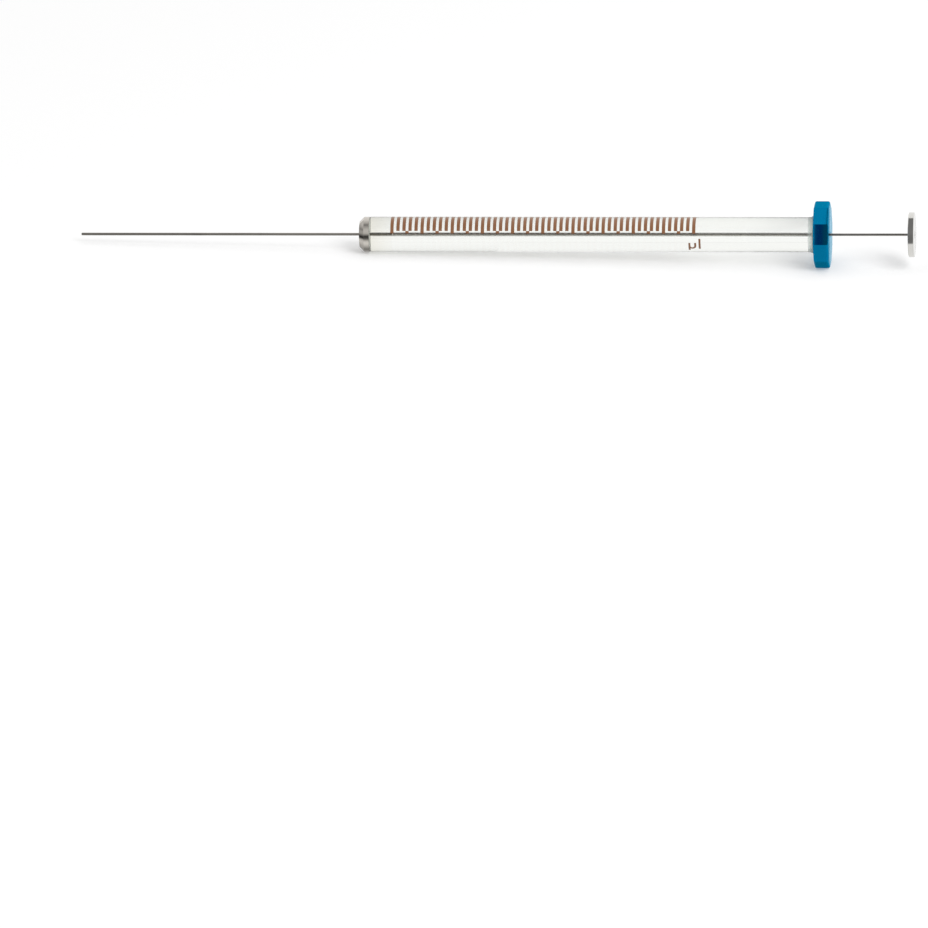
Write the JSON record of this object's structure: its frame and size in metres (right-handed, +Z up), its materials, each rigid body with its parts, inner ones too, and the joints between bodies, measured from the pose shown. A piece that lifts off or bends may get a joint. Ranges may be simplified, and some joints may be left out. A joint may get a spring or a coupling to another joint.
{
  "type": "microlitre syringe",
  "caption": "Glass microlitre syringe with a cemented needle, a blue finger flange and a steel wire plunger that slides in the bore.",
  "frame": {"origin": "on the syringe's axis, in the plane of the finger flange's needle-side face", "axes": "+X along the axis from the needle towards the plunger's button, +Z up from the flat of the flange that the syringe lies on, +Y away from the viewer who reads the scale"},
  "size_m": [0.1495, 0.012, 0.0114],
  "materials": {
    "needle_steel": "drawn stainless steel",
    "hub_nickel": "bright nickel plate",
    "cement": "clear whitish epoxy",
    "glass": "polished borosilicate glass",
    "enamel": "fired brown enamel",
    "blue_anodised": "blue anodised",
    "wire_steel": "drawn stainless wire",
    "button_nickel": "bright nickel plate",
    "solder": "smooth solder"
  },
  "bodies": {
    "syringe": {"needle": "needle_steel", "needle_hub": "hub_nickel", "hub_cement": "cement", "glass_barrel": "glass", "division_marks": "enamel", "half_step_marks": "enamel", "flange": "blue_anodised", "flange_cement": "cement"},
    "plunger": {"plunger_wire": "wire_steel", "plunger_button": "button_nickel", "button_solder": "solder"}
  },
  "joints": [
    {"name": "plunger_slide", "type": "slide", "parent": "syringe", "child": "plunger", "axis": [1, 0, 0], "range_m": [0, 0.0541]}
  ]
}
